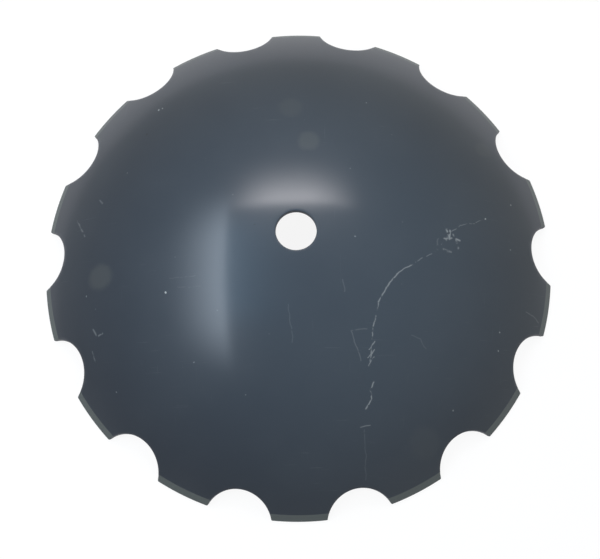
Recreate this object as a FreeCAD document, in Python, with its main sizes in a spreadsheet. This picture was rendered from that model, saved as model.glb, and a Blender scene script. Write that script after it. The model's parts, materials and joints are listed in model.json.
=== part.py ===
import FreeCAD, Part
import math
import os
import Sketcher

# Notched harrow disc blade: one spherical plate of even thickness that lies rim down with its crown
# up. The origin is on the disc axis at the level of the lowest rim edge, +Z is the disc axis and
# one tooth is centred on +Y.

NODE = "disc_blade"

DIMENSIONS = [
    ("blade_radius", "330", "disc axis to the tip of a tooth, seen along the axis"),
    ("plate_thickness", "6", "plate, measured square to its faces"),
    ("hollow_radius", "515", "sphere of the hollow face"),
    ("edge_land", "4", "blunt edge left at a tooth's tip, square to the plate"),
    ("bevel_width", "8", "sharpening bevel on the crown side, seen along the axis"),
    ("bore_radius", "24", "round hole for the gang axle"),
    ("notch_count", "14", "notches, and teeth between them"),
    ("notch_radius", "42.5", "round notch, seen along the axis"),
    ("notch_centre", "342", "disc axis to the centre of a notch"),
    ("corner_break", "1.2", "chamfer on the two blunt corners of each tooth"),
    ("bore_break", "0.8", "chamfer on the crown side of the bore"),
]


def make_sheet(doc):
    """The driving dimensions, in millimetres, one row each."""
    sheet = doc.addObject("Spreadsheet::Sheet", "Sheet")
    for row, (alias, value, meaning) in enumerate(DIMENSIONS, start=1):
        sheet.set(f"A{row}", alias)
        sheet.set(f"B{row}", value)
        sheet.set(f"C{row}", meaning)
        sheet.setAlias(f"B{row}", alias)
    doc.recompute()
    return sheet


def origin_plane(body, role):
    """One of the body's own origin planes."""
    return next(feature for feature in body.Origin.OriginFeatures if feature.Role == role)


def add_sketch(body, name, role):
    """A sketch on one of the body's own origin planes."""
    sketch = body.newObject("Sketcher::SketchObject", name)
    sketch.AttachmentSupport = [(origin_plane(body, role), "")]
    sketch.MapMode = "FlatFace"
    return sketch


def bind(sketch, kind, args, name, expression, start):
    """Add a named dimension to a sketch and drive it from the sheet."""
    index = sketch.addConstraint(Sketcher.Constraint(kind, *args, start))
    sketch.renameConstraint(index, name)
    sketch.setExpression(f"Constraints.{name}", expression)


def section_sketch(body, sheet):
    """Half section of the plain disc: two arcs about one centre, the bevel and the edge land."""
    hollow = sheet.hollow_radius
    crown = hollow + sheet.plate_thickness
    tip = sheet.blade_radius
    bevel_start = tip - sheet.bevel_width
    tip_sphere = hollow + sheet.edge_land
    lean = math.asin(tip / tip_sphere)
    depth = -hollow * math.cos(lean)

    def point(radius, height):
        return FreeCAD.Vector(radius, height, 0)

    centre = point(0, depth)
    hollow_top = point(0, depth + hollow)
    crown_top = point(0, depth + crown)
    hollow_rim = point(hollow * math.sin(lean), 0)
    land_top = point(tip, depth + tip_sphere * math.cos(lean))
    bevel_top = point(bevel_start, depth + math.sqrt(crown ** 2 - bevel_start ** 2))

    def arc(radius, rim):
        circle = Part.Circle(centre, FreeCAD.Vector(0, 0, 1), radius)
        return Part.ArcOfCircle(circle, math.atan2(rim.y - depth, rim.x), math.pi / 2)

    sketch = add_sketch(body, "Section", "XZ_Plane")
    hollow_arc = sketch.addGeometry(arc(hollow, hollow_rim), False)
    crown_arc = sketch.addGeometry(arc(crown, bevel_top), False)
    bevel = sketch.addGeometry(Part.LineSegment(bevel_top, land_top), False)
    land = sketch.addGeometry(Part.LineSegment(land_top, hollow_rim), False)
    axis = sketch.addGeometry(Part.LineSegment(hollow_top, crown_top), False)
    start, end, middle = 1, 2, 3
    v_axis = -2
    for first, first_point, second, second_point in [
        (crown_arc, start, bevel, start),
        (bevel, end, land, start),
        (land, end, hollow_arc, start),
        (hollow_arc, end, axis, start),
        (axis, end, crown_arc, end),
        (hollow_arc, middle, crown_arc, middle),
    ]:
        sketch.addConstraint(Sketcher.Constraint("Coincident", first, first_point, second, second_point))
    for item, item_point in [(hollow_arc, middle), (axis, start), (axis, end)]:
        sketch.addConstraint(Sketcher.Constraint("PointOnObject", item, item_point, v_axis))
    h_axis = -1
    sketch.addConstraint(Sketcher.Constraint("PointOnObject", hollow_arc, start, h_axis))
    # The land stands square to the plate, so its line runs through the spheres' centre.
    sketch.addConstraint(Sketcher.Constraint("PointOnObject", hollow_arc, middle, land))
    bind(sketch, "Radius", (hollow_arc,), "hollow_radius", "Sheet.hollow_radius", hollow)
    bind(sketch, "Radius", (crown_arc,), "crown_radius",
         "Sheet.hollow_radius + Sheet.plate_thickness", crown)
    bind(sketch, "Distance", (land,), "land_length", "Sheet.edge_land", sheet.edge_land)
    bind(sketch, "DistanceX", (-1, 1, bevel, end), "tip_radius", "Sheet.blade_radius", tip)
    bind(sketch, "DistanceX", (-1, 1, bevel, start), "bevel_start",
         "Sheet.blade_radius - Sheet.bevel_width", bevel_start)
    return sketch


def circle_sketch(body, name, radius_cell, centre, radius):
    """A circle on the rim plane, seen along the disc axis, with its radius from the sheet."""
    sketch = add_sketch(body, name, "XY_Plane")
    circle = Part.Circle(FreeCAD.Vector(centre[0], centre[1], 0), FreeCAD.Vector(0, 0, 1), radius)
    index = sketch.addGeometry(circle, False)
    bind(sketch, "Radius", (index,), "radius", f"Sheet.{radius_cell}", radius)
    return sketch, index


def cut_through(body, name, sketch):
    """A pocket along the disc axis, right through the plate; it must take metal away."""
    before = body.Tip.Shape.Volume
    pocket = body.newObject("PartDesign::Pocket", name)
    pocket.Profile = sketch
    pocket.Type = "ThroughAll"
    pocket.Reversed = True
    body.Document.recompute()
    if body.Tip.Shape.Volume >= before:
        raise RuntimeError(f"{name} cuts nothing")
    return pocket


def cut_bore(body, sheet):
    """The axle's round hole on the disc axis."""
    sketch, circle = circle_sketch(body, "BoreCircle", "bore_radius", (0, 0), sheet.bore_radius)
    sketch.addConstraint(Sketcher.Constraint("Coincident", circle, 3, -1, 1))
    cut_through(body, "Bore", sketch)


def cut_notches(body, sheet):
    """One notch half a pitch from the tooth on +Y, repeated round the rim."""
    half_pitch = math.pi / sheet.notch_count
    x = sheet.notch_centre * math.sin(half_pitch)
    y = sheet.notch_centre * math.cos(half_pitch)
    sketch, circle = circle_sketch(body, "NotchCircle", "notch_radius", (x, y), sheet.notch_radius)
    bind(sketch, "DistanceX", (-1, 1, circle, 3), "centre_x",
         "Sheet.notch_centre * sin(180deg / Sheet.notch_count)", x)
    bind(sketch, "DistanceY", (-1, 1, circle, 3), "centre_y",
         "Sheet.notch_centre * cos(180deg / Sheet.notch_count)", y)
    notch = cut_through(body, "Notch", sketch)
    pattern = body.newObject("PartDesign::PolarPattern", "Notches")
    pattern.Originals = [notch]
    pattern.Axis = (sketch, ["N_Axis"])
    pattern.Angle = 360
    pattern.setExpression("Occurrences", "Sheet.notch_count")
    body.Tip = pattern
    body.Document.recompute()


def is_sphere(face, radius):
    """Whether the face lies on a sphere of this radius."""
    return isinstance(face.Surface, Part.Sphere) and abs(face.Surface.Radius - radius) < 0.01


def is_cylinder(face, radius):
    """Whether the face lies on a cylinder of this radius."""
    return isinstance(face.Surface, Part.Cylinder) and abs(face.Surface.Radius - radius) < 0.01


def is_cone(face, half_angle):
    """Whether the face lies on a cone of this half angle."""
    return isinstance(face.Surface, Part.Cone) and abs(abs(face.Surface.SemiAngle) - half_angle) < 0.01


def shared_edges(shape, first_test, second_test):
    """Names of the edges where a face that passes one test meets a face that passes the other."""
    names = []
    for index, edge in enumerate(shape.Edges, start=1):
        faces = shape.ancestorsOfType(edge, Part.Face)
        if len(faces) != 2:
            continue
        pairs = [(faces[0], faces[1]), (faces[1], faces[0])]
        if any(first_test(one) and second_test(other) for one, other in pairs):
            names.append(f"Edge{index}")
    return names


def add_chamfer(body, name, edges, cell):
    """A chamfer on the named edges of the body's last feature."""
    base = body.Tip
    chamfer = body.newObject("PartDesign::Chamfer", name)
    chamfer.Base = (base, edges)
    chamfer.setExpression("Size", f"Sheet.{cell}")
    body.Tip = chamfer
    body.Document.recompute()


def break_corners(body, sheet):
    """Take the sharpness off the corners where each edge land meets a notch."""
    land_half_angle = math.asin(sheet.blade_radius / (sheet.hollow_radius + sheet.edge_land))
    edges = shared_edges(
        body.Tip.Shape,
        lambda face: is_cylinder(face, sheet.notch_radius),
        lambda face: is_cone(face, land_half_angle),
    )
    if len(edges) != 2 * sheet.notch_count:
        raise RuntimeError(f"{len(edges)} tooth corners found")
    add_chamfer(body, "ToothCorners", edges, "corner_break")


def break_bore(body, sheet):
    """Take the sharpness off the bore's edge on the crown."""
    edges = shared_edges(
        body.Tip.Shape,
        lambda face: is_cylinder(face, sheet.bore_radius),
        lambda face: is_sphere(face, sheet.hollow_radius + sheet.plate_thickness),
    )
    add_chamfer(body, "BoreEdge", edges, "bore_break")


def build(doc, sheet):
    """The blade's body, from the plain disc to its finished edges."""
    body = doc.addObject("PartDesign::Body", "DiscBlade")
    body.Label = NODE
    section = section_sketch(body, sheet)
    doc.recompute()
    disc = body.newObject("PartDesign::Revolution", "PlainDisc")
    disc.Profile = section
    disc.ReferenceAxis = (section, ["V_Axis"])
    disc.Angle = 360
    doc.recompute()
    cut_bore(body, sheet)
    cut_notches(body, sheet)
    break_corners(body, sheet)
    break_bore(body, sheet)
    return body


def main():
    doc = FreeCAD.newDocument("HarrowDiscBlade")
    sheet = make_sheet(doc)
    body = build(doc, sheet)
    for thing in doc.Objects:
        if "Invalid" in thing.State or "Error" in thing.State:
            raise RuntimeError(f"{thing.Name} failed: {thing.State}")
    if body.Shape.isNull() or not body.Shape.isValid():
        raise RuntimeError(f"{body.Label} isn't a sound solid")
    os.makedirs("parts", exist_ok=True)
    body.Shape.exportStep(f"parts/{body.Label}.step")


main()
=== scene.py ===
import json
from math import asin, atan2, cos, degrees, pi, radians, sin, sqrt, tan

import bpy
from mathutils import Matrix, Vector


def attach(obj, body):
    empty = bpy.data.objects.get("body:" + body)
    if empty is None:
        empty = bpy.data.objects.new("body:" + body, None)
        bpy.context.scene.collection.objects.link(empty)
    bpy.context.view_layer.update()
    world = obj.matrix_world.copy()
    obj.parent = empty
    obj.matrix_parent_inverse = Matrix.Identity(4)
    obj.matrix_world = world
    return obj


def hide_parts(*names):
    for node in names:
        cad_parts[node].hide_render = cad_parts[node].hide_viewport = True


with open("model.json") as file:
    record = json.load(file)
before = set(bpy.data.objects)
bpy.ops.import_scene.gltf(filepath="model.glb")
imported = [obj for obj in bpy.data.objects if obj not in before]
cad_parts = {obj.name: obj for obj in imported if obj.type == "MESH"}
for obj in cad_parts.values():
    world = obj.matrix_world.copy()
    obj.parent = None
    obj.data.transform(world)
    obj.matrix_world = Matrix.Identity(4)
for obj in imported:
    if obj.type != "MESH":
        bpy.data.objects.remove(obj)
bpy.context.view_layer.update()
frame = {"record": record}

# The blade's sizes in metres, the same as the solid's.
BLADE_RADIUS = 0.330
PLATE = 0.006
HOLLOW_RADIUS = 0.515
CROWN_RADIUS = HOLLOW_RADIUS + PLATE
EDGE_LAND = 0.004
BEVEL_WIDTH = 0.008
BORE_RADIUS = frame["record"]["mounts"][0]["dims"]["r_mm"] / 1000
NOTCHES = 14
NOTCH_RADIUS = 0.0425
NOTCH_CENTRE = 0.342
CORNER_BREAK = 0.0012
BORE_BREAK = 0.0008
EDGE_ROLL = 0.0008

PITCH = 2 * pi / NOTCHES
LEAN = asin(BLADE_RADIUS / (HOLLOW_RADIUS + EDGE_LAND))
SPHERE_Z = -HOLLOW_RADIUS * cos(LEAN)
LAND_TOP_Z = SPHERE_Z + (HOLLOW_RADIUS + EDGE_LAND) * cos(LEAN)
HOLLOW_RIM = HOLLOW_RADIUS * sin(LEAN)
BEVEL_START = BLADE_RADIUS - BEVEL_WIDTH


def sphere_height(sphere_radius, radius):
    """Height of one of the plate's faces at a distance from the disc axis."""
    return SPHERE_Z + sqrt(sphere_radius ** 2 - radius ** 2)


# ---------------------------------------------------------------- camera

def add_camera():
    """Looks down on the crown from a metre up, a little to the -Y side."""
    place = Vector((0.0124, -0.2851, 0.9839))
    aim = Vector((0.0030, -0.0292, 0.0075))
    roll = radians(-2.64)
    camera = bpy.data.cameras.new("camera")
    camera.sensor_width = 36
    camera.lens = 46.68
    camera.clip_start = 0.05
    camera.clip_end = 50
    holder = bpy.data.objects.new("camera", camera)
    bpy.context.scene.collection.objects.link(holder)
    holder.rotation_mode = "QUATERNION"
    turn = (aim - place).to_track_quat("-Z", "Y")
    holder.rotation_quaternion = turn @ Matrix.Rotation(roll, 4, "Z").to_quaternion()
    holder.location = place
    bpy.context.scene.camera = holder


# ---------------------------------------------------------------- modelling helpers

def pick(*objects):
    """Select only these objects, the first one active."""
    if bpy.context.object and bpy.context.object.mode != "OBJECT":
        bpy.ops.object.mode_set(mode="OBJECT")
    bpy.ops.object.select_all(action="DESELECT")
    for thing in objects:
        thing.select_set(True)
    bpy.context.view_layer.objects.active = objects[0]


def clear_selection():
    bpy.ops.object.select_all(action="DESELECT")


def select_vertices(piece, test):
    """In edit mode, select only the vertices that pass the test."""
    bpy.ops.mesh.select_mode(type="VERT")
    bpy.ops.mesh.select_all(action="DESELECT")
    bpy.ops.object.mode_set(mode="OBJECT")
    for vertex in piece.data.vertices:
        vertex.select = test(vertex.co)
    bpy.ops.object.mode_set(mode="EDIT")


def near(a, b, gap=5e-5):
    return abs(a - b) < gap


def plan_radius(point):
    return sqrt(point.x ** 2 + point.y ** 2)


# ---------------------------------------------------------------- the blade

ARC_STEPS = 480
SPIN_STEPS = 25 * NOTCHES
NOTCH_SIDES = 100
TRIM_GAP = 0.00005


def upper_height(radius):
    """Height of the plate's upper side, on the crown or on the bevel."""
    if radius <= BEVEL_START:
        return sphere_height(CROWN_RADIUS, radius)
    top = sphere_height(CROWN_RADIUS, BEVEL_START)
    return top + (LAND_TOP_Z - top) * (radius - BEVEL_START) / BEVEL_WIDTH


def notch_gap(point):
    """Distance of a point from the wall of the notch nearest to it, seen along the axis."""
    number = round((atan2(point.y, point.x) - pi / 2) / PITCH - 0.5) + 0.5
    angle = pi / 2 + number * PITCH
    return sqrt((point.x - NOTCH_CENTRE * cos(angle)) ** 2
                + (point.y - NOTCH_CENTRE * sin(angle)) ** 2) - NOTCH_RADIUS


def add_arc(radius, outer):
    """One side's arc in the half section, from the bore out to a given distance."""
    clear_selection()
    bpy.ops.mesh.primitive_circle_add(
        vertices=ARC_STEPS, radius=radius, fill_type="NOTHING",
        location=(0, 0, SPHERE_Z), rotation=(pi / 2, 0, 0))
    arc = bpy.context.object
    bpy.ops.object.transform_apply(location=True, rotation=True, scale=True)
    bpy.ops.object.mode_set(mode="EDIT")
    for point, normal in [((BORE_RADIUS, 0, 0), (1, 0, 0)),
                          ((0, 0, -PLATE), (0, 0, 1)),
                          ((outer, 0, 0), (-1, 0, 0))]:
        bpy.ops.mesh.select_all(action="SELECT")
        bpy.ops.mesh.bisect(plane_co=point, plane_no=normal, clear_inner=True)
    bpy.ops.object.mode_set(mode="OBJECT")
    return arc


def join_ends(piece, first, second):
    """A straight edge of the half section between two (radius, height) corners."""
    ends = [first, second]
    select_vertices(piece, lambda p: any(near(p.x, r) and near(p.z, z) for r, z in ends))
    bpy.ops.mesh.edge_face_add()


def spin_disc():
    """The plain disc: its half section spun round the axis."""
    crown = add_arc(CROWN_RADIUS, BEVEL_START)
    hollow = add_arc(HOLLOW_RADIUS, HOLLOW_RIM)
    pick(crown, hollow)
    bpy.ops.object.join()
    disc = bpy.context.object
    bevel_top = (BEVEL_START, sphere_height(CROWN_RADIUS, BEVEL_START))
    land_top = (BLADE_RADIUS, LAND_TOP_Z)
    bpy.ops.object.mode_set(mode="EDIT")
    select_vertices(disc, lambda p: near(p.x, bevel_top[0]) and near(p.z, bevel_top[1]))
    step = (land_top[0] - bevel_top[0], 0, land_top[1] - bevel_top[1])
    bpy.ops.mesh.extrude_region_move(TRANSFORM_OT_translate={"value": step})
    join_ends(disc, land_top, (HOLLOW_RIM, 0))
    bore_top = (BORE_RADIUS, sphere_height(CROWN_RADIUS, BORE_RADIUS))
    join_ends(disc, bore_top, (BORE_RADIUS, sphere_height(HOLLOW_RADIUS, BORE_RADIUS)))
    select_vertices(disc, lambda p: near(p.x, bore_top[0]) and near(p.z, bore_top[1]))
    bpy.ops.mesh.bevel(offset=BORE_BREAK, segments=3, affect="VERTICES")
    bpy.ops.mesh.select_all(action="SELECT")
    bpy.ops.mesh.spin(steps=SPIN_STEPS, angle=2 * pi, center=(0, 0, 0), axis=(0, 0, 1))
    bpy.ops.mesh.select_all(action="SELECT")
    bpy.ops.mesh.remove_doubles(threshold=1e-5)
    bpy.ops.mesh.normals_make_consistent(inside=False)
    bpy.ops.object.mode_set(mode="OBJECT")
    return disc


def trim(piece, tool, operation):
    """Cut one piece by another, which is used up."""
    pick(piece)
    cut = piece.modifiers.new("trim", "BOOLEAN")
    cut.operation = operation
    cut.solver = "EXACT"
    cut.object = tool
    bpy.ops.object.modifier_apply(modifier=cut.name)
    bpy.data.objects.remove(tool, do_unlink=True)


def notch_punches():
    """The round punches for all the notches, half a pitch either side of each tooth."""
    punches = []
    for number in range(NOTCHES):
        angle = pi / 2 - (number + 0.5) * PITCH
        clear_selection()
        bpy.ops.mesh.primitive_cylinder_add(
            vertices=NOTCH_SIDES, radius=NOTCH_RADIUS, depth=0.24,
            location=(NOTCH_CENTRE * cos(angle), NOTCH_CENTRE * sin(angle), 0.05),
            rotation=(0, 0, angle))
        punches.append(bpy.context.object)
    pick(*punches)
    bpy.ops.object.join()
    return bpy.context.object


def outline_die():
    """A prism of the notched outline, its teeth's upright corners rounded."""
    clear_selection()
    bpy.ops.mesh.primitive_cylinder_add(
        vertices=SPIN_STEPS, radius=BLADE_RADIUS + TRIM_GAP, depth=0.20, location=(0, 0, 0.05))
    die = bpy.context.object
    bpy.ops.object.transform_apply(location=True, rotation=True, scale=True)
    trim(die, notch_punches(), "DIFFERENCE")
    bpy.ops.object.mode_set(mode="EDIT")
    select_vertices(die, lambda p: abs(notch_gap(p)) < 6e-5
                    and plan_radius(p) > BLADE_RADIUS - 0.0002)
    bpy.ops.mesh.select_mode(type="EDGE")
    bpy.ops.mesh.bevel(offset=CORNER_BREAK, segments=4, affect="EDGES", clamp_overlap=False)
    bpy.ops.object.mode_set(mode="OBJECT")
    return die


def roll_edges(disc):
    """Round over the upper edge of each notch, as the press leaves it."""
    bpy.ops.object.mode_set(mode="EDIT")
    bpy.ops.mesh.select_all(action="SELECT")
    bpy.ops.mesh.remove_doubles(threshold=3e-5)
    bpy.ops.mesh.dissolve_degenerate(threshold=3e-5)
    select_vertices(disc, lambda p: 6e-5 < notch_gap(p) < 2 * EDGE_ROLL
                    and plan_radius(p) < BEVEL_START + 1e-4 and p.z > EDGE_LAND)
    bpy.ops.mesh.dissolve_verts()
    select_vertices(disc, lambda p: abs(notch_gap(p)) < 6e-5
                    and plan_radius(p) < BLADE_RADIUS - 2 * CORNER_BREAK
                    and abs(p.z - upper_height(plan_radius(p))) < 6e-5)
    bpy.ops.mesh.select_mode(type="EDGE")
    bpy.ops.mesh.bevel(offset=EDGE_ROLL, segments=3, affect="EDGES",
                       clamp_overlap=False, loop_slide=False)
    bpy.ops.mesh.select_all(action="SELECT")
    bpy.ops.mesh.remove_doubles(threshold=3e-5)
    bpy.ops.mesh.dissolve_degenerate(threshold=3e-5)
    bpy.ops.object.mode_set(mode="OBJECT")


def smooth(disc):
    """Smooth faces, with the bevel's line and the plate's edges kept crisp."""
    bpy.ops.object.shade_smooth_by_angle(angle=radians(35))
    corners = disc.data.vertices
    for edge in disc.data.edges:
        if all(near(plan_radius(corners[i].co), BEVEL_START, 3e-4)
               and corners[i].co.z > EDGE_LAND for i in edge.vertices):
            edge.use_edge_sharp = True


def blade():
    """The whole blade, in place of the solid, and painted."""
    disc = spin_disc()
    disc.name = "blade"
    disc.data.name = "blade"
    trim(disc, outline_die(), "INTERSECT")
    roll_edges(disc)
    smooth(disc)
    disc.data.materials.clear()
    disc.data.materials.append(blade_paint())
    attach(disc, "root")
    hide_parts("disc_blade")


# ---------------------------------------------------------------- node helpers

def feed(links, value, socket):
    """Link an output to a socket, or set the socket to a plain value."""
    if isinstance(value, bpy.types.NodeSocket):
        links.new(value, socket)
    else:
        socket.default_value = value


def compute(tree, operation, *values, clamp=False):
    """A Math node."""
    node = tree.nodes.new("ShaderNodeMath")
    node.operation = operation
    node.use_clamp = clamp
    for value, socket in zip(values, node.inputs):
        feed(tree.links, value, socket)
    return node.outputs[0]


def vector(tree, operation, *values):
    """A Vector Math node; dot products and distances come out as a number."""
    node = tree.nodes.new("ShaderNodeVectorMath")
    node.operation = operation
    sockets = [socket for socket in node.inputs if socket.enabled]
    for value, socket in zip(values, sockets):
        feed(tree.links, value, socket)
    number = operation in ("DOT_PRODUCT", "DISTANCE", "LENGTH")
    return node.outputs["Value" if number else "Vector"]


def ramp(tree, value, low, high, start=0.0, end=1.0, curve="SMOOTHSTEP"):
    """A soft step of a value, from start at low to end at high."""
    node = tree.nodes.new("ShaderNodeMapRange")
    node.interpolation_type = curve
    settings = {"Value": value, "From Min": low, "From Max": high, "To Min": start, "To Max": end}
    for name, setting in settings.items():
        feed(tree.links, setting, node.inputs[name])
    return node.outputs["Result"]


def blend(tree, factor, first, second):
    """A mix of two colours."""
    node = tree.nodes.new("ShaderNodeMix")
    node.data_type = "RGBA"
    sockets = [socket for socket in node.inputs if socket.enabled]
    for value, socket in zip((factor, first, second), sockets):
        feed(tree.links, value, socket)
    return next(socket for socket in node.outputs if socket.enabled)


def noise(tree, place, scale, detail=3.0, stretch=(1, 1, 1)):
    """Noise on the piece's own coordinates, drawn out along an axis where it is stretched."""
    mapping = tree.nodes.new("ShaderNodeMapping")
    mapping.inputs["Scale"].default_value = stretch
    tree.links.new(place, mapping.inputs["Vector"])
    node = tree.nodes.new("ShaderNodeTexNoise")
    node.inputs["Scale"].default_value = scale
    node.inputs["Detail"].default_value = detail
    tree.links.new(mapping.outputs["Vector"], node.inputs["Vector"])
    return node.outputs["Fac"]


def new_group(name, inputs):
    """An empty node group with the given inputs and one output, Mask."""
    group = bpy.data.node_groups.new(name, "ShaderNodeTree")
    for label, kind in inputs:
        group.interface.new_socket(label, in_out="INPUT", socket_type=kind)
    group.interface.new_socket("Mask", in_out="OUTPUT", socket_type="NodeSocketFloat")
    start = group.nodes.new("NodeGroupInput").outputs
    return group, start, group.nodes.new("NodeGroupOutput").inputs["Mask"]


def place_group(tree, group, **values):
    """One use of a node group, with its own values."""
    node = tree.nodes.new("ShaderNodeGroup")
    node.node_tree = group
    for name, value in values.items():
        feed(tree.links, value, node.inputs[name])
    return node.outputs["Mask"]


# ---------------------------------------------------------------- marks in the paint

# Places are millimetres on the blade, seen along its axis.
# A stroke is its points, then its width in millimetres, strength and how broken it is.
STROKES = [
    ([(234, 30), (216, 22), (199, 16)], 0.8, 0.22, 0.44),
    ([(199, 16), (186, 6), (168, -18), (151, -28), (134, -39)], 0.9, 0.24, 0.50),
    ([(134, -39), (126, -43), (117, -50), (109, -60), (101, -72), (94, -84)], 1.2, 0.42, 0.38),
    ([(94, -84), (88, -110), (85, -132), (84, -155)], 1.2, 0.40, 0.52),
    ([(90, -128), (82, -137)], 1.0, 0.40, 0.46),
    ([(89, -136), (81, -146)], 1.0, 0.40, 0.46),
    ([(88, -145), (82, -155)], 1.0, 0.35, 0.46),
    ([(88, -172), (84, -182), (86, -190), (79, -203)], 1.3, 0.45, 0.44),
    ([(73, -222), (84, -220)], 1.1, 0.26, 0.36),
    ([(77, -226), (79, -282)], 0.9, 0.07, 0.30),
    ([(61, -116), (73, -149)], 1.1, 0.13, 0.30),
    ([(61, -116), (82, -114)], 1.0, 0.10, 0.40),
    ([(-9, -88), (-5, -129)], 1.0, 0.08, 0.30),
    ([(132, -120), (143, -124), (150, -134)], 1.0, 0.08, 0.30),
    ([(285, -81), (296, -84), (303, -91)], 1.2, 0.12, 0.30),
    ([(180, 14), (183, 4), (181, -6)], 2.6, 0.48, 0.52),
    ([(186, 8), (184, -2)], 2.0, 0.50, 0.46),
    ([(178, -2), (188, -1), (197, -3)], 2.0, 0.42, 0.50),
    ([(190, 4), (193, -6), (194, -13)], 1.8, 0.30, 0.50),
    ([(176, -16), (186, -18)], 2.0, 0.22, 0.46),
    ([(170, -4), (166, -24)], 1.4, 0.10, 0.44),
    ([(-282, 44), (-269, 20)], 1.5, 0.18, 0.48),
    ([(-251, -101), (-246, -109), (-238, -107)], 1.6, 0.22, 0.44),
    ([(-252, -127), (-248, -140)], 1.2, 0.16, 0.40),
    ([(-250, 66), (-246, 60)], 1.2, 0.16, 0.30),
    ([(-150, -50), (-118, -49)], 0.8, 0.06, 0.45),
    ([(-140, -61), (-112, -63)], 0.8, 0.06, 0.45),
    ([(54, -58), (54, -72)], 1.0, 0.10, 0.30),
]
# A fleck is its place, radius in millimetres and strength.
FLECKS = [
    (-181, 192, 1.6, 0.60), (-176, 193, 1.2, 0.50), (-155, -67, 1.8, 0.95), (-220, -177, 1.0, 0.35),
    (-121, -148, 1.1, 0.35), (-60, -187, 1.1, 0.25), (69, -7, 1.2, 0.30), (246, -109, 1.3, 0.40),
    (244, -131, 1.3, 0.40), (185, -202, 1.4, 0.35), (274, 57, 1.2, 0.35), (267, -5, 1.2, 0.30),
    (234, 30, 1.6, 0.60), (90, 182, 1.2, 0.30), (-214, 96, 1.0, 0.30), (-262, -60, 1.2, 0.30),
]
CHIPS = [(-192, 153, 1.6, 0.8), (-48, 8, 1.4, 0.5), (128, 64, 1.1, 0.4)]
# A rub is a round dulled patch: its place, radius in millimetres and strength.
RUBS = [(16, 119, 17, 1.0), (-242, -38, 20, 1.0), (-6, 172, 19, 0.5), (243, 133, 14, 0.35), (150, -240, 24, 0.3)]


def stroke_group():
    """How near a point is to a straight stroke, 1 on it and 0 at its width."""
    group, given, mask = new_group("stroke", [
        ("Place", "NodeSocketVector"), ("Start", "NodeSocketVector"),
        ("End", "NodeSocketVector"), ("Width", "NodeSocketFloat")])
    run = vector(group, "SUBTRACT", given["End"], given["Start"])
    offset = vector(group, "SUBTRACT", given["Place"], given["Start"])
    along = compute(group, "DIVIDE", vector(group, "DOT_PRODUCT", offset, run),
                    vector(group, "DOT_PRODUCT", run, run), clamp=True)
    foot = vector(group, "SCALE", run, along)
    reach = vector(group, "DISTANCE", offset, foot)
    group.links.new(ramp(group, reach, 0.0, given["Width"], 1.0, 0.0), mask)
    return group


def spot_group():
    """A soft round spot, 1 at its centre and 0 at its radius."""
    group, given, mask = new_group("spot", [
        ("Place", "NodeSocketVector"), ("Centre", "NodeSocketVector"),
        ("Radius", "NodeSocketFloat"), ("Core", "NodeSocketFloat")])
    reach = vector(group, "DISTANCE", given["Place"], given["Centre"])
    share = compute(group, "DIVIDE", reach, given["Radius"])
    group.links.new(ramp(group, share, given["Core"], 1.0, 1.0, 0.0), mask)
    return group


def metres(x, y):
    return (x / 1000, y / 1000, 0)


def strokes(tree, group, flat, breaks):
    """All the strokes together, each broken up along its length."""
    total = 0.0
    for points, width, strength, broken in STROKES:
        gate = ramp(tree, breaks, broken - 0.05, broken + 0.07, 0.0, strength)
        for start, end in zip(points, points[1:]):
            mask = place_group(tree, group, Place=flat, Start=metres(*start), End=metres(*end),
                               Width=width / 1000)
            total = compute(tree, "MAXIMUM", total, compute(tree, "MULTIPLY", mask, gate))
    return total


def spots(tree, group, flat, marks, core):
    """All the spots of one kind together."""
    total = 0.0
    for x, y, radius, strength in marks:
        mask = place_group(tree, group, Place=flat, Centre=metres(x, y), Radius=radius / 1000,
                           Core=core)
        total = compute(tree, "MAXIMUM", total, compute(tree, "MULTIPLY", mask, strength))
    return total


# ---------------------------------------------------------------- paint

PAINT = (0.0145, 0.0200, 0.0305, 1)
PAINT_PALE = (0.0180, 0.0240, 0.0345, 1)
BEVEL_PAINT = (0.046, 0.057, 0.056, 1)
BARE = (0.36, 0.38, 0.38, 1)
CHIP = (0.004, 0.005, 0.006, 1)
RUBBED = (0.036, 0.041, 0.046, 1)
SATIN = 0.36
DULL = 0.55


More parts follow.
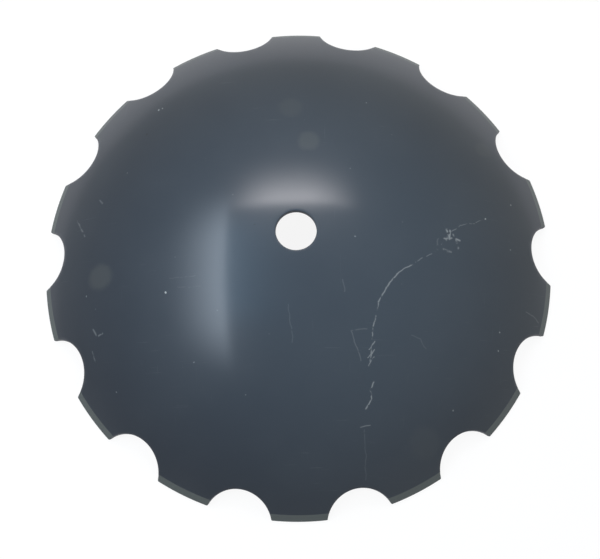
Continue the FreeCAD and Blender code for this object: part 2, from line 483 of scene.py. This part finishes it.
def blade_paint():
    """Dark blue-grey satin paint with a thin gloss, scratched, flecked and rubbed on the crown."""
    paint = bpy.data.materials.new("blade paint")
    paint.use_nodes = True
    tree = paint.node_tree
    shader = tree.nodes["Principled BSDF"]
    place = tree.nodes.new("ShaderNodeTexCoord").outputs["Object"]
    facing = tree.nodes.new("ShaderNodeTexCoord").outputs["Normal"]
    up = vector(tree, "DOT_PRODUCT", facing, (0, 0, 1))
    crown = ramp(tree, up, 0.05, 0.35)
    wander = tree.nodes.new("ShaderNodeTexNoise")
    wander.inputs["Scale"].default_value = 60
    tree.links.new(place, wander.inputs["Vector"])
    shift = vector(tree, "SUBTRACT", wander.outputs["Color"], (0.5, 0.5, 0.5))
    shift = vector(tree, "MULTIPLY", shift, (0.006, 0.006, 0))
    flat = vector(tree, "ADD", vector(tree, "MULTIPLY", place, (1, 1, 0)), shift)
    radius = vector(tree, "LENGTH", vector(tree, "MULTIPLY", place, (1, 1, 0)))
    bevel = compute(tree, "MULTIPLY", crown, ramp(tree, radius, BEVEL_START - 0.0003, BEVEL_START + 0.0003))

    clouds = noise(tree, place, 9, detail=5)
    grain = noise(tree, place, 420, detail=2)
    breaks = noise(tree, place, 150, detail=2)
    hairs = ramp(tree, noise(tree, place, 26, detail=4, stretch=(1, 26, 1)), 0.66, 0.74)
    cross_hairs = ramp(tree, noise(tree, place, 22, detail=4, stretch=(30, 1, 1)), 0.68, 0.76)
    hairs = compute(tree, "MULTIPLY", compute(tree, "MAXIMUM", hairs, cross_hairs),
                    ramp(tree, clouds, 0.42, 0.66, 0.0, 0.05))
    dust = tree.nodes.new("ShaderNodeTexVoronoi")
    dust.inputs["Scale"].default_value = 60
    tree.links.new(place, dust.inputs["Vector"])
    dust = ramp(tree, dust.outputs["Distance"], 0.03, 0.07, 1.0, 0.0)
    dust = compute(tree, "MULTIPLY", dust, ramp(tree, noise(tree, place, 31), 0.56, 0.70, 0.0, 0.16))

    stroke, spot = stroke_group(), spot_group()
    marks = compute(tree, "MAXIMUM", strokes(tree, stroke, flat, breaks),
                    spots(tree, spot, flat, FLECKS, 0.5))
    marks = compute(tree, "MAXIMUM", marks, compute(tree, "MAXIMUM", hairs, dust))
    marks = compute(tree, "MULTIPLY", marks, crown)
    chips = compute(tree, "MULTIPLY", spots(tree, spot, flat, CHIPS, 0.6), crown)
    rubs = compute(tree, "MULTIPLY", spots(tree, spot, flat, RUBS, 0.55), crown)

    colour = blend(tree, ramp(tree, clouds, 0.3, 0.7), PAINT, PAINT_PALE)
    colour = blend(tree, bevel, colour, BEVEL_PAINT)
    colour = blend(tree, compute(tree, "MULTIPLY", rubs, 0.8), colour, RUBBED)
    colour = blend(tree, chips, colour, CHIP)
    colour = blend(tree, marks, colour, BARE)
    tree.links.new(colour, shader.inputs["Base Color"])

    roughness = ramp(tree, clouds, 0.3, 0.7, SATIN - 0.02, SATIN + 0.03)
    for mask in (bevel, marks, compute(tree, "SUBTRACT", 1.0, crown)):
        lift = compute(tree, "MULTIPLY", mask, compute(tree, "SUBTRACT", DULL, roughness))
        roughness = compute(tree, "ADD", roughness, lift)
    tree.links.new(roughness, shader.inputs["Roughness"])

    worn = compute(tree, "MAXIMUM", compute(tree, "MULTIPLY", bevel, 0.5), marks)
    gloss = compute(tree, "MULTIPLY", compute(tree, "SUBTRACT", 1.0, worn),
                    compute(tree, "MULTIPLY", crown, 0.5))
    tree.links.new(gloss, shader.inputs["Coat Weight"])
    shader.inputs["Coat Roughness"].default_value = 0.15
    shader.inputs["Specular IOR Level"].default_value = 0.25

    bump = tree.nodes.new("ShaderNodeBump")
    bump.inputs["Strength"].default_value = 0.35
    bump.inputs["Distance"].default_value = 0.00008
    tree.links.new(grain, bump.inputs["Height"])
    tree.links.new(bump.outputs["Normal"], shader.inputs["Normal"])
    return paint


# ---------------------------------------------------------------- studio

PANEL_HEIGHT = 1.2
PANEL_FADE = 3.0
FLOOR_SIZE = 6.0
FLOOR_SHOWN = 0.9


def seen_rays(tree):
    """1 for the rays that see the background itself, 0 for the rays that light things."""
    path = tree.nodes.new("ShaderNodeLightPath").outputs
    seen = compute(tree, "MAXIMUM", path["Is Camera Ray"], path["Is Glossy Ray"])
    return path["Is Camera Ray"], compute(tree, "MAXIMUM", seen, path["Is Transmission Ray"])


def mix_shaders(tree, factor, first, second):
    node = tree.nodes.new("ShaderNodeMixShader")
    feed(tree.links, factor, node.inputs["Fac"])
    tree.links.new(first, node.inputs[1])
    tree.links.new(second, node.inputs[2])
    return node.outputs[0]


def add_floor():
    """White floor: it shows as white, and still takes a faint shadow."""
    clear_selection()
    bpy.ops.mesh.primitive_plane_add(size=FLOOR_SIZE)
    floor = bpy.context.object
    floor.name = "floor"
    white = bpy.data.materials.new("white floor")
    white.use_nodes = True
    tree = white.node_tree
    tree.nodes.clear()
    card = tree.nodes.new("ShaderNodeBsdfDiffuse")
    card.inputs["Color"].default_value = (0.9, 0.9, 0.9, 1)
    glow = tree.nodes.new("ShaderNodeEmission")
    share = compute(tree, "MULTIPLY", seen_rays(tree)[1], FLOOR_SHOWN)
    output = tree.nodes.new("ShaderNodeOutputMaterial")
    tree.links.new(mix_shaders(tree, share, card.outputs[0], glow.outputs[0]), output.inputs["Surface"])
    floor.data.materials.append(white)


def add_world():
    """Plain soft light; shiny paint sees a pale room, bluer overhead and dimmer to one side."""
    world = bpy.data.worlds.new("room")
    bpy.context.scene.world = world
    world.use_nodes = True
    tree = world.node_tree
    tree.nodes.clear()

    def backdrop(colour, strength=1.0):
        node = tree.nodes.new("ShaderNodeBackground")
        feed(tree.links, colour, node.inputs["Color"])
        feed(tree.links, strength, node.inputs["Strength"])
        return node.outputs[0]

    direction = tree.nodes.new("ShaderNodeNewGeometry").outputs["Position"]
    height = vector(tree, "DOT_PRODUCT", direction, (0, 0, 1))
    overhead = ramp(tree, height, 0.08, 1.0)
    colour = blend(tree, overhead, (0.51, 0.53, 0.47, 1), (1.00, 1.30, 1.50, 1))
    window_side = vector(tree, "DOT_PRODUCT", direction, (0.64, 0.77, 0))
    level = ramp(tree, window_side, -1.0, 1.0, 0.70, 1.30, "LINEAR")
    camera_ray, seen = seen_rays(tree)
    lit = mix_shaders(tree, seen, backdrop((0.80, 0.82, 0.85, 1)), backdrop(colour, level))
    shown = mix_shaders(tree, camera_ray, lit, backdrop((1, 1, 1, 1)))
    output = tree.nodes.new("ShaderNodeOutputWorld")
    tree.links.new(shown, output.inputs["Surface"])


def add_panel(name, place, size, turn, radiance, colour, ends):
    """A light panel facing down, brightest at its crisp inner side, fading outwards and to its ends."""
    light = bpy.data.lights.new(name, "AREA")
    light.shape = "RECTANGLE"
    light.size, light.size_y = size
    light.energy = radiance * pi * size[0] * size[1]
    light.color = colour
    light.use_nodes = True
    tree = light.node_tree
    spot = tree.nodes.new("ShaderNodeNewGeometry").outputs["Parametric"]
    across = vector(tree, "DOT_PRODUCT", spot, (1, 0, 0))
    length = vector(tree, "DOT_PRODUCT", spot, (0, 1, 0))
    fade = compute(tree, "POWER", compute(tree, "SUBTRACT", 1.0, across, clamp=True), PANEL_FADE)
    both_ends = compute(tree, "MULTIPLY", ramp(tree, length, 0.0, ends),
                        ramp(tree, length, 1.0 - ends, 1.0, 1.0, 0.0))
    tree.links.new(compute(tree, "MULTIPLY", fade, both_ends), tree.nodes["Emission"].inputs["Strength"])
    lamp = bpy.data.objects.new(name, light)
    bpy.context.scene.collection.objects.link(lamp)
    lamp.location = place
    lamp.rotation_euler = (0, 0, turn)
    lamp.visible_camera = False


add_camera()
blade()
add_floor()
add_world()
add_panel("left panel", (-0.99, 0.02, PANEL_HEIGHT), (0.84, 1.74), pi, 9.5, (0.87, 1.0, 1.15), 0.35)
add_panel("overhead glow", (-0.12, 0.08, PANEL_HEIGHT), (0.90, 1.04), 0, 1.3, (0.25, 0.75, 1.25), 0.25)
add_panel("far panel", (-0.05, 0.905, PANEL_HEIGHT), (0.64, 1.20), pi / 2, 19, (1.02, 0.98, 1.0), 0.42)
bpy.context.scene.view_settings.view_transform = "Standard"
